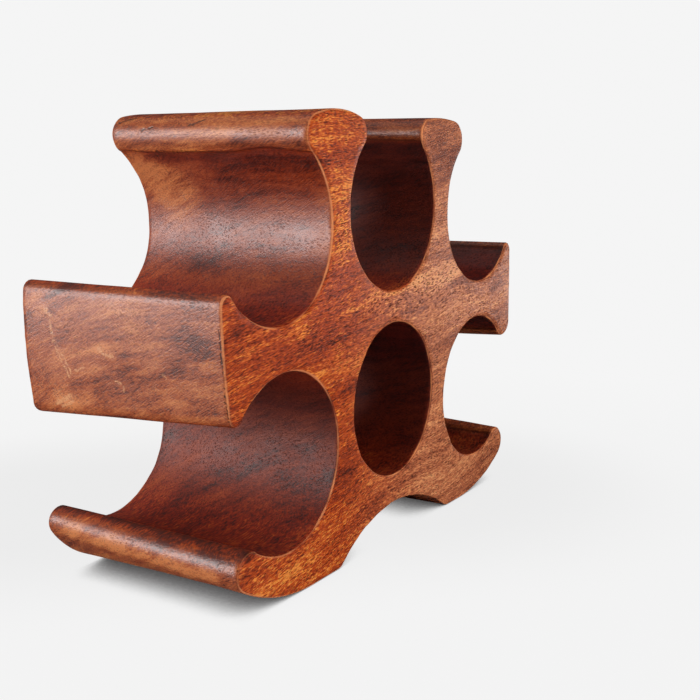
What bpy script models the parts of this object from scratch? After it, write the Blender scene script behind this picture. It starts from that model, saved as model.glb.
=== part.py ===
"""A tabletop bottle rack for six bottles, carved from one block of hardwood.

The block is lofted from its front face to its back face. Each face is one closed chain of round
stretches: an arch and two feet below, an arm to each side, and two horns on top. Between them lie
the six bottle places: a bored hole, a notch that is open above it, and an open cradle at each
corner. Metres, +Z up, the front face towards -Y, and the origin on the ground under the middle of
the block.
"""
import math
from typing import NamedTuple

import bmesh
import bpy

# The block
DEPTH = 0.118
EDGE_ROUNDING = 0.0012

# The bottle, and the room round it in each place
BOTTLE_DIAMETER = 0.075
HOLE_ROOM = 0.0046
NOTCH_ROOM = 0.0067
UPPER_CRADLE_ROOM = 0.0065
LOWER_CRADLE_ROOM = 0.0060

# Wood left standing between the places, at its thinnest. The cradles drift a little on their way
# from the front face to the back face.
HOLE_FLOOR = 0.0164
HOLE_BRIDGE = 0.0174
HOLE_WEB = 0.0161
HOLE_WEB_BACK = 0.0152
HORN_WAIST = 0.0172
HORN_WAIST_BACK = 0.0179
ARM_NECK = 0.0221
ARM_NECK_BACK = 0.0215
FOOT_WALL = 0.0235
FOOT_WALL_BACK = 0.0223

# The underside: an arch between two flat soles, cut a little wider to the right of the middle
ARCH_RISE = 0.0198
ARCH_REACH_LEFT = 0.056
ARCH_REACH_RIGHT = 0.062
ARCH_HEEL_RADIUS = 0.008
SOLE_WIDTH_LEFT = 0.024
SOLE_WIDTH_RIGHT = 0.017
SOLE_FLARE = 0.012

# Each horn: its lip over the notch, its lip over the cradle, and the crown that bows between them
NOTCH_LIP_LEFT = 0.0082
NOTCH_LIP_RIGHT = 0.0092
NOTCH_LIP_BACK = 0.0087
HORN_LIP_LEFT = 0.0103
HORN_LIP_RIGHT = 0.0107
HORN_LIP_BACK = 0.0096
CROWN_RADIUS_LEFT = 0.077
CROWN_RADIUS_RIGHT = 0.140
CROWN_RADIUS_BACK = 0.116

# Each arm: its lip under the upper cradle, its lip over the lower one, and the end between them
ARM_TOP_LIP_LEFT = 0.0048
ARM_TOP_LIP_RIGHT = 0.0054
ARM_TOP_LIP_BACK = 0.0051
ARM_BOTTOM_LIP_LEFT = 0.0052
ARM_BOTTOM_LIP_RIGHT = 0.0098
ARM_BOTTOM_LIP_BACK = 0.0068
ARM_END_RADIUS_LEFT = 0.36
ARM_END_RADIUS_RIGHT = 0.90
ARM_END_RADIUS_BACK = 0.27

# The tip of each foot
FOOT_TIP = 0.0098
FOOT_TIP_BACK = 0.0075

# Mesh steps of each round stretch, and of the loft
ARCH_STEPS = 7
HEEL_STEPS = 2
SOLE_CURVE_STEPS = 5
FOOT_TIP_STEPS = 10
CRADLE_STEPS = 26
LIP_STEPS = 7
BOW_STEPS = 4
NOTCH_STEPS = 13
HOLE_STEPS = 36
LOFT_STEPS = 6
EDGE_STEPS = 2
SMOOTH_ANGLE = 50.0


class Side(NamedTuple):
    """What sets one side of a face apart: its sole, the wood between its places, and its lips.

    Each lip has the angle that it reaches round its bottle place, in degrees. The notch, horn and
    arm_bottom angles are counted from straight above the centre of the place, and the arm_top and
    foot angles from straight below it.
    """

    arch_reach: float
    sole_width: float
    hole_web: float
    horn_waist: float
    arm_neck: float
    foot_wall: float
    notch: float
    notch_lip: float
    horn: float
    horn_lip: float
    crown_radius: float
    arm_top: float
    arm_top_lip: float
    arm_bottom: float
    arm_bottom_lip: float
    arm_end_radius: float
    foot: float
    foot_lip: float


# The block is carved by eye, so its two sides differ a little, and its lips flare towards the back
LEFT_FRONT = Side(
    arch_reach=ARCH_REACH_LEFT, sole_width=SOLE_WIDTH_LEFT,
    hole_web=HOLE_WEB, horn_waist=HORN_WAIST, arm_neck=ARM_NECK, foot_wall=FOOT_WALL,
    notch=42.9, notch_lip=NOTCH_LIP_LEFT,
    horn=38.5, horn_lip=HORN_LIP_LEFT, crown_radius=CROWN_RADIUS_LEFT,
    arm_top=51.9, arm_top_lip=ARM_TOP_LIP_LEFT,
    arm_bottom=51.1, arm_bottom_lip=ARM_BOTTOM_LIP_LEFT, arm_end_radius=ARM_END_RADIUS_LEFT,
    foot=35.2, foot_lip=FOOT_TIP,
)
RIGHT_FRONT = Side(
    arch_reach=ARCH_REACH_RIGHT, sole_width=SOLE_WIDTH_RIGHT,
    hole_web=HOLE_WEB, horn_waist=HORN_WAIST, arm_neck=ARM_NECK, foot_wall=FOOT_WALL,
    notch=45.6, notch_lip=NOTCH_LIP_RIGHT,
    horn=41.8, horn_lip=HORN_LIP_RIGHT, crown_radius=CROWN_RADIUS_RIGHT,
    arm_top=54.1, arm_top_lip=ARM_TOP_LIP_RIGHT,
    arm_bottom=47.2, arm_bottom_lip=ARM_BOTTOM_LIP_RIGHT, arm_end_radius=ARM_END_RADIUS_RIGHT,
    foot=35.2, foot_lip=FOOT_TIP,
)
LEFT_BACK = Side(
    arch_reach=ARCH_REACH_LEFT, sole_width=SOLE_WIDTH_LEFT + SOLE_FLARE,
    hole_web=HOLE_WEB_BACK, horn_waist=HORN_WAIST_BACK, arm_neck=ARM_NECK_BACK, foot_wall=FOOT_WALL_BACK,
    notch=43.5, notch_lip=NOTCH_LIP_BACK,
    horn=32.2, horn_lip=HORN_LIP_BACK, crown_radius=CROWN_RADIUS_BACK,
    arm_top=55.7, arm_top_lip=ARM_TOP_LIP_BACK,
    arm_bottom=56.2, arm_bottom_lip=ARM_BOTTOM_LIP_BACK, arm_end_radius=ARM_END_RADIUS_BACK,
    foot=44.5, foot_lip=FOOT_TIP_BACK,
)
RIGHT_BACK = LEFT_BACK._replace(
    arch_reach=ARCH_REACH_RIGHT, sole_width=SOLE_WIDTH_RIGHT + SOLE_FLARE,
)


class OutlinePoint(NamedTuple):
    """A point of a face's outline, and the direction out of the wood there."""

    x: float
    z: float
    out_x: float
    out_z: float


class Place(NamedTuple):
    """A bottle place, or any other round form, seen from the front."""

    x: float
    z: float
    radius: float


def hole_place():
    """The bored hole, over the middle of the arch."""
    radius = BOTTLE_DIAMETER / 2 + HOLE_ROOM
    return Place(0, ARCH_RISE + HOLE_FLOOR + radius, radius)


def open_places(side):
    """The three open places of the right half: notch, lower cradle and upper cradle."""
    hole = hole_place()
    bottle_radius = BOTTLE_DIAMETER / 2
    notch_radius = bottle_radius + NOTCH_ROOM
    lower_radius = bottle_radius + LOWER_CRADLE_ROOM
    upper_radius = bottle_radius + UPPER_CRADLE_ROOM
    notch = Place(0, hole.z + hole.radius + HOLE_BRIDGE + notch_radius, notch_radius)
    lower_z = side.foot_wall + lower_radius
    lower = Place(hole.radius + side.hole_web + lower_radius, lower_z, lower_radius)
    upper_z = lower.z + lower_radius + side.arm_neck + upper_radius
    upper = Place(notch_radius + side.horn_waist + upper_radius, upper_z, upper_radius)
    return notch, lower, upper


def lip_beyond(place, angle, radius):
    """A round lip that touches a place from outside, at an angle counted from +X."""
    reach = place.radius + radius
    return Place(place.x + reach * math.cos(angle), place.z + reach * math.sin(angle), radius)


def direction(start, end):
    """The angle from one centre to another."""
    return math.atan2(end.z - start.z, end.x - start.x)


def bow_between(first, second, radius):
    """The large round that holds two lips inside it and touches both, with the wood to its left."""
    from_first = radius - first.radius
    from_second = radius - second.radius
    distance = math.hypot(second.x - first.x, second.z - first.z)
    along = (from_first ** 2 - from_second ** 2 + distance ** 2) / (2 * distance)
    angle = direction(first, second) + math.acos(along / from_first)
    x = first.x + from_first * math.cos(angle)
    z = first.z + from_first * math.sin(angle)
    return Place(x, z, radius)


def round_stretch(place, start, end, steps):
    """Points round a centre, with the wood inside where the angle grows, and outside where it falls."""
    side = 1 if end > start else -1
    points = []
    for step in range(steps + 1):
        angle = start + (end - start) * step / steps
        across = math.cos(angle)
        up = math.sin(angle)
        x = place.x + place.radius * across
        z = place.z + place.radius * up
        points.append(OutlinePoint(x, z, side * across, side * up))
    return points


def past(angle, start):
    """The same direction as angle, as the first turn of it that comes after start."""
    return start + (angle - start) % math.tau


def underside(side, foot_tip):
    """The arch, its heel, the flat sole and the curve up to the tip of the foot."""
    arch_radius = (side.arch_reach ** 2 + ARCH_RISE ** 2) / (2 * ARCH_RISE)
    arch = Place(0, ARCH_RISE - arch_radius, arch_radius)
    heel_drop = ARCH_HEEL_RADIUS - arch.z
    heel_x = math.sqrt((arch_radius + ARCH_HEEL_RADIUS) ** 2 - heel_drop ** 2)
    heel = Place(heel_x, ARCH_HEEL_RADIUS, ARCH_HEEL_RADIUS)
    sole_end = heel_x + side.sole_width
    tip_lift = foot_tip.z - foot_tip.radius
    curve_radius = ((foot_tip.x - sole_end) ** 2 / tip_lift + foot_tip.z + foot_tip.radius) / 2
    curve = Place(sole_end, curve_radius, curve_radius)
    down = -math.pi / 2
    arch_end = direction(arch, heel)
    points = round_stretch(arch, math.pi / 2, arch_end, ARCH_STEPS)
    points += round_stretch(heel, arch_end - math.pi, down, HEEL_STEPS)[1:]
    points += round_stretch(curve, down, direction(curve, foot_tip), SOLE_CURVE_STEPS)
    return points, direction(curve, foot_tip)


def bowed_end(first, first_angle, second, second_angle, bow_radius):
    """A lip, the bow after it and the lip after that, between the places that the lips touch."""
    bow = bow_between(first, second, bow_radius)
    start = first_angle - math.pi
    bow_start = past(direction(bow, first), start)
    bow_end = past(direction(bow, second), bow_start)
    points = round_stretch(first, start, bow_start, LIP_STEPS)
    points += round_stretch(bow, bow_start, bow_end, BOW_STEPS)[1:]
    points += round_stretch(second, bow_end, past(second_angle + math.pi, bow_end), LIP_STEPS)[1:]
    return points


def half_outline(side):
    """The right half of a face, from the middle of the arch to the lowest point of the notch."""
    notch, lower, upper = open_places(side)
    up = math.pi / 2
    foot_angle = math.radians(side.foot) - up
    arm_bottom_angle = up - math.radians(side.arm_bottom)
    arm_top_angle = math.radians(side.arm_top) - up
    horn_angle = up + math.radians(side.horn)
    notch_angle = up - math.radians(side.notch)
    foot_tip = lip_beyond(lower, foot_angle, side.foot_lip)
    arm_bottom = lip_beyond(lower, arm_bottom_angle, side.arm_bottom_lip)
    arm_top = lip_beyond(upper, arm_top_angle, side.arm_top_lip)
    horn_lip = lip_beyond(upper, horn_angle, side.horn_lip)
    notch_lip = lip_beyond(notch, notch_angle, side.notch_lip)

    points, foot_start = underside(side, foot_tip)
    foot_end = past(foot_angle + math.pi, foot_start)
    points += round_stretch(foot_tip, foot_start, foot_end, FOOT_TIP_STEPS)[1:]
    points += round_stretch(lower, foot_angle, arm_bottom_angle - math.tau, CRADLE_STEPS)[1:]
    points += bowed_end(
        arm_bottom, arm_bottom_angle, arm_top, arm_top_angle, side.arm_end_radius
    )[1:]
    points += round_stretch(upper, arm_top_angle, horn_angle - math.tau, CRADLE_STEPS)[1:]
    points += bowed_end(horn_lip, horn_angle, notch_lip, notch_angle, side.crown_radius)[1:]
    points += round_stretch(notch, notch_angle, -up, NOTCH_STEPS)[1:]
    return points


def carved_side(front, back, share):
    """A side of the outline at a share of the way from the front face to the back face."""
    return Side(*(ahead + (behind - ahead) * share for ahead, behind in zip(front, back)))


def block_outline(share):
    """The whole outline at that share of the depth, anticlockwise from the middle of the arch."""
    right = half_outline(carved_side(RIGHT_FRONT, RIGHT_BACK, share))
    left = half_outline(carved_side(LEFT_FRONT, LEFT_BACK, share))
    mirrored = [OutlinePoint(-p.x, p.z, -p.out_x, p.out_z) for p in left]
    return right + mirrored[-2:0:-1]


def hole_outline():
    """The bored hole, with the wood outside it."""
    return round_stretch(hole_place(), math.tau, 0, HOLE_STEPS)[:-1]


def loft_stations():
    """Where the block is cut for the loft, from the front: (how deep, how far in from the surface)."""
    rounding = []
    for step in range(EDGE_STEPS):
        turn = math.pi / 2 * step / EDGE_STEPS
        rounding.append((EDGE_ROUNDING * (1 - math.cos(turn)), EDGE_ROUNDING * (1 - math.sin(turn))))
    straight = DEPTH - 2 * EDGE_ROUNDING
    middle = [(EDGE_ROUNDING + straight * step / LOFT_STEPS, 0) for step in range(LOFT_STEPS + 1)]
    far = [(DEPTH - deep, inset) for deep, inset in reversed(rounding)]
    return rounding + middle + far


def add_ring(bm, outline, deep, inset):
    """One closed ring of vertices across the block."""
    verts = []
    for point in outline:
        x = point.x - inset * point.out_x
        z = point.z - inset * point.out_z
        verts.append(bm.verts.new((x, deep - DEPTH / 2, z)))
    return verts


def skin(bm, rings):
    """Four-sided faces from each ring to the next."""
    for near, far in zip(rings, rings[1:]):
        for index in range(len(near)):
            following = (index + 1) % len(near)
            bm.faces.new((near[index], near[following], far[following], far[index]))


def cap(bm, outer, inner):
    """The flat face between the outline and the hole."""
    edges = []
    for ring in (outer, inner):
        edges += [bm.edges.get((vert, ring[index - 1])) for index, vert in enumerate(ring)]
    bmesh.ops.triangle_fill(bm, edges=edges, use_beauty=True)


def make_rack_body(material):
    """The carved block: lofted outline, bored hole, and flat front and back faces."""
    bm = bmesh.new()
    outer_rings = []
    hole_rings = []
    for deep, inset in loft_stations():
        outer_rings.append(add_ring(bm, block_outline(deep / DEPTH), deep, inset))
        hole_rings.append(add_ring(bm, hole_outline(), deep, inset))
    skin(bm, outer_rings)
    skin(bm, hole_rings)
    cap(bm, outer_rings[0], hole_rings[0])
    cap(bm, outer_rings[-1], hole_rings[-1])
    bmesh.ops.recalc_face_normals(bm, faces=bm.faces)
    mesh = bpy.data.meshes.new("rack_body")
    bm.to_mesh(mesh)
    bm.free()
    mesh.shade_smooth()
    mesh.set_sharp_from_angle(angle=math.radians(SMOOTH_ANGLE))
    mesh.materials.append(material)
    body = bpy.data.objects.new("rack_body", mesh)
    bpy.context.scene.collection.objects.link(body)
    return body


def make_hardwood():
    """Oiled reddish-brown hardwood."""
    material = bpy.data.materials.new("oiled_hardwood")
    material.use_nodes = True
    shader = material.node_tree.nodes["Principled BSDF"]
    shader.inputs["Base Color"].default_value = (0.26, 0.075, 0.032, 1)
    shader.inputs["Roughness"].default_value = 0.42
    shader.inputs["Metallic"].default_value = 0
    return material


def clear_scene():
    """Remove whatever objects the file starts with."""
    for item in list(bpy.data.objects):
        bpy.data.objects.remove(item, do_unlink=True)


clear_scene()
make_rack_body(make_hardwood())
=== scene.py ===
"""Dresses the carved bottle rack: its hand-carved surface, its oiled hardwood and a plain studio.

The block follows the same outline rule as its CAD solid, in finer steps. Geometry Nodes then carve
small waves, the creases beside its lips and worn edges into it. Metres, +Z up, the front face
towards -Y.
"""

import math
from types import SimpleNamespace
from typing import NamedTuple

import bpy
import numpy as np
from mathutils import Matrix, Vector, geometry, kdtree, noise


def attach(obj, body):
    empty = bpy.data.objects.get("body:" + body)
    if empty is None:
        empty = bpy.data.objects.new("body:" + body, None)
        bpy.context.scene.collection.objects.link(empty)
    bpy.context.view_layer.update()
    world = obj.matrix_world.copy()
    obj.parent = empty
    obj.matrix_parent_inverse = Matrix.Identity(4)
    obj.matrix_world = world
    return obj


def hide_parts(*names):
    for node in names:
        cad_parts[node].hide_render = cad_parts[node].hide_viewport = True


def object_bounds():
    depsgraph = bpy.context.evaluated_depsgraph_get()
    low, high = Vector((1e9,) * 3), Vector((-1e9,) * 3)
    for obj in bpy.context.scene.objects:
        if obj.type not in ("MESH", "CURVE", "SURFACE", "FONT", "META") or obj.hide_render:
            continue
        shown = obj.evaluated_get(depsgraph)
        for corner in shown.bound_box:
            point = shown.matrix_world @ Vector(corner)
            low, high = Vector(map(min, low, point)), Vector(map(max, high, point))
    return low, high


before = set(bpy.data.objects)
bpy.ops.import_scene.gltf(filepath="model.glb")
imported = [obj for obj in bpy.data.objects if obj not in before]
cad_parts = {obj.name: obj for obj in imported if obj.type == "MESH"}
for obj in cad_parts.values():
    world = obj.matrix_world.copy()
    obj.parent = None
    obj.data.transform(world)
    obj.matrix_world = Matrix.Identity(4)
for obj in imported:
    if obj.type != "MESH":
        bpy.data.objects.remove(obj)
CAD_LOW, CAD_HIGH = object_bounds()

bl_info = {
    "name": "Carved bottle rack",
    "version": (1, 0, 0),
    "blender": (4, 5, 0),
    "location": "3D View > Sidebar > Bottle Rack",
    "description": "Builds a hardwood rack for six bottles and a plain studio round it",
    "category": "Add Mesh",
}

BODY = "rack_body"
WOOD_SLOT = "oiled_hardwood"
# Directions are angles counted from +X
UP = math.pi / 2
LEFT, RIGHT, BACK = 0, 1, 2


class Side(NamedTuple):
    """What sets one side of a face apart: its sole, the wood between its places, and its lips.

    notch, horn, arm_top, arm_bottom and foot are how far each lip reaches round its bottle place,
    in radians.
    """

    arch_reach: float
    sole_width: float
    hole_web: float
    horn_waist: float
    arm_neck: float
    foot_wall: float
    foot_lip: float
    notch_lip: float
    horn_lip: float
    crown_radius: float
    arm_top_lip: float
    arm_bottom_lip: float
    arm_end_radius: float
    notch: float
    horn: float
    arm_top: float
    arm_bottom: float
    foot: float


class Place(NamedTuple):
    """A bottle place, or any other round form, seen from the front."""

    x: float
    z: float
    radius: float


# Settings that the sidebar shows


def length(label, says, default):
    """A length in the scene's units."""
    return bpy.props.FloatProperty(
        name=label, description=says, default=default, min=0, precision=4, step=0.01, unit="LENGTH"
    )


def lengths(label, says, *default):
    """A length that differs between the front and the back, or between left, right and back."""
    says += ": left, right and back" if len(default) == 3 else ": at the front and at the back"
    return bpy.props.FloatVectorProperty(
        name=label, description=says, default=default, size=len(default), min=0, precision=4,
        step=0.01, unit="LENGTH",
    )


def camera_angle(label, says, degrees):
    """An angle, given in degrees."""
    return bpy.props.FloatProperty(
        name=label, description=says, default=math.radians(degrees), subtype="ANGLE"
    )


def share(label, says, default, top=1.0):
    """A plain strength from nothing up to its top."""
    return bpy.props.FloatProperty(
        name=label, description=says, default=default, min=0, max=top, subtype="FACTOR"
    )


def colour(label, says, default):
    """A colour in the scene's linear values."""
    return bpy.props.FloatVectorProperty(
        name=label, description=says, default=default, min=0, max=1, size=3, subtype="COLOR"
    )


class RackSizes(bpy.types.PropertyGroup):
    """The lengths that shape the block, the same as in its CAD solid."""

    depth: length("Depth", "From the front face to the back face", CAD_HIGH.y - CAD_LOW.y)
    edge_rounding: length("Edge rounding", "Radius of the edges of both faces", 0.0012)
    bottle: length("Bottle", "Diameter of the bottles that the rack takes", 0.075)
    hole_room: length("Hole room", "Room round the bottle in the bored hole", 0.0046)
    notch_room: length("Notch room", "Room round the bottle in the notch", 0.0067)
    upper_room: length("Upper room", "Room round the bottle in the upper cradles", 0.0065)
    lower_room: length("Lower room", "Room round the bottle in the lower cradles", 0.0060)
    hole_floor: length("Hole floor", "Wood between the arch and the hole", 0.0164)
    hole_bridge: length("Hole bridge", "Wood between the hole and the notch", 0.0174)
    hole_web: lengths("Hole web", "Wood between the hole and a lower cradle", 0.0161, 0.0152)
    horn_waist: lengths("Horn waist", "Wood between the notch and an upper cradle", 0.0172, 0.0179)
    arm_neck: lengths("Arm neck", "Wood between the two cradles of a side", 0.0221, 0.0215)
    foot_wall: lengths("Foot wall", "Wood under a lower cradle", 0.0235, 0.0223)
    arch_rise: length("Arch rise", "Height of the arch between the soles", 0.0198)
    arch_left: length("Arch, left", "Reach of the arch to the left", 0.056)
    arch_right: length("Arch, right", "Reach of the arch to the right", 0.062)
    arch_heel: length("Arch heel", "Radius where the arch meets a sole", 0.008)
    sole_left: length("Left sole", "Width of the left sole", 0.024)
    sole_right: length("Right sole", "Width of the right sole", 0.017)
    sole_flare: length("Sole flare", "How much wider each sole is at the back", 0.012)
    notch_lip: lengths("Notch lip", "Radius of a horn's lip over the notch", 0.0082, 0.0092, 0.0087)
    horn_lip: lengths("Horn lip", "Radius of a horn's lip over its cradle", 0.0103, 0.0107, 0.0096)
    crown: lengths("Crown", "Radius of the bow on top of a horn", 0.077, 0.140, 0.116)
    arm_top_lip: lengths("Arm top", "Radius of an arm's upper lip", 0.0048, 0.0054, 0.0051)
    arm_bottom_lip: lengths("Arm bottom", "Radius of an arm's lower lip", 0.0052, 0.0098, 0.0068)
    arm_end: lengths("Arm end", "Radius of the bow between an arm's lips", 0.36, 0.90, 0.27)
    foot_tip: lengths("Foot tip", "Radius of a foot's tip", 0.0098, 0.0075)
    spacing: length("Mesh spacing", "Distance between neighbouring points", 0.0017)


class CarvingSettings(bpy.types.PropertyGroup):
    """How deep the hand tools went."""

    wave_depth: length("Waves", "Depth of the long waves left by carving", 0.0006)
    wave_size: length("Wave size", "Distance from one wave to the next", 0.034)
    scallop_depth: length("Scallops", "Depth of the shallow scallops along the grain", 0.00018)
    scallop_size: length("Scallop size", "Width of a scallop", 0.009)
    wear_depth: length("Edge wear", "How far handling has worn down the edges", 0.0005)
    wear_size: length("Wear size", "Distance between worn spots", 0.012)
    crease_depth: length("Crease", "Depth of the crease between a lip and its cradle", 0.0013)
    crease_reach: length("Crease reach", "How far into the cradle a crease runs out", 0.016)
    crease_wander: length("Crease wander", "How far a crease strays from a straight line", 0.0034)
    seed: bpy.props.IntProperty(name="Seed", description="Which pattern of waves", default=4, min=0)


class WoodFinish(bpy.types.PropertyGroup):
    """Colours and measures of the oiled hardwood."""

    dark: colour("Dark figure", "The dark growth bands", (0.090, 0.013, 0.006))
    heart: colour("Heartwood", "The main colour", (0.34, 0.039, 0.006))
    amber: colour("Amber", "The lighter bands", (0.54, 0.082, 0.010))
    gold: colour("Golden streaks", "The light streaks along the grain", (0.86, 0.280, 0.045))
    # The faded colours stand partly for paler wood and partly for a painted sheen on the right of the
    # front and back faces
    faded: colour("Faded", "The paler wood on the right", (0.52, 0.185, 0.080))
    end_grain: colour("End grain", "Where the fibres are cut across", (0.34, 0.068, 0.018))
    end_gold: colour("Light end grain", "Light spots of the end grain", (0.60, 0.195, 0.060))
    faded_dark: colour("Faded figure", "The dark figure where it has faded", (0.24, 0.060, 0.028))
    faded_gold: colour("Faded gold", "The golden streaks where they have faded", (0.78, 0.36, 0.17))
    # The soak colour darkens the bottle places partly as old oil and partly as painted shade; the
    # trough colour is a painted reddish shade
    soaked: colour("Soaked", "How the bottle places darken", (0.74, 0.53, 0.47))
    trough: colour("Trough", "How the floor of an upper place reddens", (0.92, 0.58, 0.45))
    pore: colour("Pores", "The open pores", (0.030, 0.008, 0.004))
    # The worn edge colour is partly wear and partly a painted highlight along the rounded edges
    worn: colour("Worn edge", "Where handling has taken the oil off", (0.84, 0.29, 0.11))
    scratched: colour("Scratches", "Where a scratch has opened the wood", (0.66, 0.30, 0.13))
    worn_width: length("Worn line", "Width of the pale line along an edge", 0.001)
    worn_spots: length("Worn spots", "Distance between the breaks of that line", 0.016)
    smudge_size: length("Smudges", "Distance between smudges of old oil", 0.024)
    hatch_size: length("Hatch", "Distance between the scraper's fine lines", 0.0005)
    band: length("Band width", "Distance between dark growth bands", 0.014)
    streak: length("Streak width", "Distance between golden streaks", 0.0034)
    pore_length: length("Pore length", "Distance between pores along the grain", 0.0055)
    pore_width: length("Pore width", "Distance between pores across the grain", 0.0012)
    roughness: share("Roughness", "Roughness of the oiled surface", 0.36)
    specular: share("Specular", "Strength of the oil's reflection", 0.60)
    bump: share("Bump", "Strength of the fine relief", 0.55)


class StudioSettings(bpy.types.PropertyGroup):
    """The floor, the background and the light."""

    background: colour("Background", "What the camera sees behind the rack", (0.912, 0.912, 0.912))
    floor: colour("Floor", "The pale floor", (0.80, 0.80, 0.80))
    floor_glow: share("Floor glow", "How far the floor near the rack takes the background's tone", 0.97)
    shadow_reach: length("Shadow reach", "How far the rack's soft shadow spreads", 0.021)
    sky: share("Room light", "Strength of the even light from all round", 0.04, top=3.0)
    gleam: share("Room gleam", "Strength of the room in reflections", 0.30, top=3.0)
    key: share("Side light", "Power of the soft light on the left", 18.4, top=100.0)
    top: share("Top light", "Power of the soft light overhead", 3.0, top=100.0)
    fill: share("Front light", "Power of the soft light in front", 15.6, top=100.0)
    glint: share("Glint light", "Power of the weak light at the front right", 0.35, top=100.0)
    glare: share("Glare", "How bright reflections show the floor on the far right", 2.5, top=10.0)
    lens: bpy.props.FloatProperty(
        name="Lens", description="Focal length on a 36 mm sensor", default=56.07, min=1, unit="CAMERA"
    )
    camera_at: bpy.props.FloatVectorProperty(
        name="Camera", description="Where the camera stands", default=(-0.5052, -0.3457, 0.2098),
        size=3, precision=4, subtype="TRANSLATION", unit="LENGTH",
    )
    yaw: camera_angle("Turn", "Camera's turn from +Y towards +X", 57.987)
    pitch: camera_angle("Tilt", "How far the camera looks down", 10.188)
    roll: camera_angle("Roll", "Camera's turn round its own line of sight", 0.4356)


class BottleRackSettings(bpy.types.PropertyGroup):
    """All settings of the rack and its studio."""

    sizes: bpy.props.PointerProperty(type=RackSizes, name="Sizes", description="Sizes of the block")
    carving: bpy.props.PointerProperty(
        type=CarvingSettings, name="Carving", description="Traces of the tools and of use"
    )
    wood: bpy.props.PointerProperty(type=WoodFinish, name="Wood", description="The hardwood finish")
    studio: bpy.props.PointerProperty(
        type=StudioSettings, name="Studio", description="Floor, light and camera"
    )


# The outline of the block

# How far the lips of the notch, the horn, the arm's top and bottom and the foot reach round their
# bottle places, in degrees, at the front left, the front right and the back
LIP_ANGLES = (
    (42.9, 38.5, 51.9, 51.1, 35.2), (45.6, 41.8, 54.1, 47.2, 35.2), (43.5, 32.2, 55.7, 56.2, 44.5),
)


def carved_faces(sizes):
    """The two sides of the front face and of the back face: (left, right) at each."""

    def one_side(arch, sole, which):
        """A side of the front face (LEFT or RIGHT), or of the back face (BACK)."""
        walls = (sizes.hole_web, sizes.horn_waist, sizes.arm_neck, sizes.foot_wall, sizes.foot_tip)
        rounds = (sizes.notch_lip, sizes.horn_lip, sizes.crown, sizes.arm_top_lip,
                  sizes.arm_bottom_lip, sizes.arm_end)
        return Side(
            arch, sole, *(wall[which == BACK] for wall in walls), *(lip[which] for lip in rounds),
            *map(math.radians, LIP_ANGLES[which]),
        )

    arches, soles = (sizes.arch_left, sizes.arch_right), (sizes.sole_left, sizes.sole_right)
    front = [one_side(*ends) for ends in zip(arches, soles, (LEFT, RIGHT))]
    back = [one_side(arch, sole + sizes.sole_flare, BACK) for arch, sole in zip(arches, soles)]
    return front, back


def hole_place(sizes):
    """The bored hole, over the middle of the arch."""
    radius = sizes.bottle / 2 + sizes.hole_room
    return Place(0, sizes.arch_rise + sizes.hole_floor + radius, radius)


def open_places(sizes, side):
    """The three open places of the right half: notch, lower cradle and upper cradle."""
    hole = hole_place(sizes)
    bottle_radius = sizes.bottle / 2
    notch_radius = bottle_radius + sizes.notch_room
    lower_radius = bottle_radius + sizes.lower_room
    upper_radius = bottle_radius + sizes.upper_room
    notch = Place(0, hole.z + hole.radius + sizes.hole_bridge + notch_radius, notch_radius)
    lower_z = side.foot_wall + lower_radius
    lower = Place(hole.radius + side.hole_web + lower_radius, lower_z, lower_radius)
    upper_z = lower.z + lower_radius + side.arm_neck + upper_radius
    upper = Place(notch_radius + side.horn_waist + upper_radius, upper_z, upper_radius)
    return notch, lower, upper


def lip_beyond(place, angle, radius):
    """A round lip that touches a place from outside, at an angle counted from +X."""
    reach = place.radius + radius
    return Place(place.x + reach * math.cos(angle), place.z + reach * math.sin(angle), radius)


def direction(start, end):
    """The angle from one centre to another."""
    return math.atan2(end.z - start.z, end.x - start.x)


def past(angle, start):
    """The same direction as angle, as the first turn of it that comes after start."""
    return start + (angle - start) % math.tau


def bow_between(first, second, radius):
    """The large round that holds two lips inside it and touches both, with the wood to its left."""
    from_first = radius - first.radius
    from_second = radius - second.radius
    distance = math.hypot(second.x - first.x, second.z - first.z)
    along = (from_first ** 2 - from_second ** 2 + distance ** 2) / (2 * distance)
    angle = direction(first, second) + math.acos(along / from_first)
    return Place(
        first.x + from_first * math.cos(angle), first.z + from_first * math.sin(angle), radius
    )


def round_stretch(place, start, end, step=0.0004):
    """Close points (x, z, out_x, out_z) round a centre, the wood inside where the angle grows."""
    side = 1 if end > start else -1
    count = max(2, math.ceil(abs(end - start) * place.radius / step))
    angle = np.linspace(start, end, count + 1)
    across, up = np.cos(angle), np.sin(angle)
    return np.stack(
        [place.x + place.radius * across, place.z + place.radius * up, side * across, side * up], 1
    )


def bowed_end(first, first_angle, second, second_angle, bow_radius):
    """A lip, the bow after it and the lip after that, between the places that the lips touch."""
    bow = bow_between(first, second, bow_radius)
    start = first_angle - math.pi
    bow_start = past(direction(bow, first), start)
    bow_end = past(direction(bow, second), bow_start)
    return np.concatenate([
        round_stretch(first, start, bow_start),
        round_stretch(bow, bow_start, bow_end)[1:],
        round_stretch(second, bow_end, past(second_angle + math.pi, bow_end))[1:],
    ])


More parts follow.
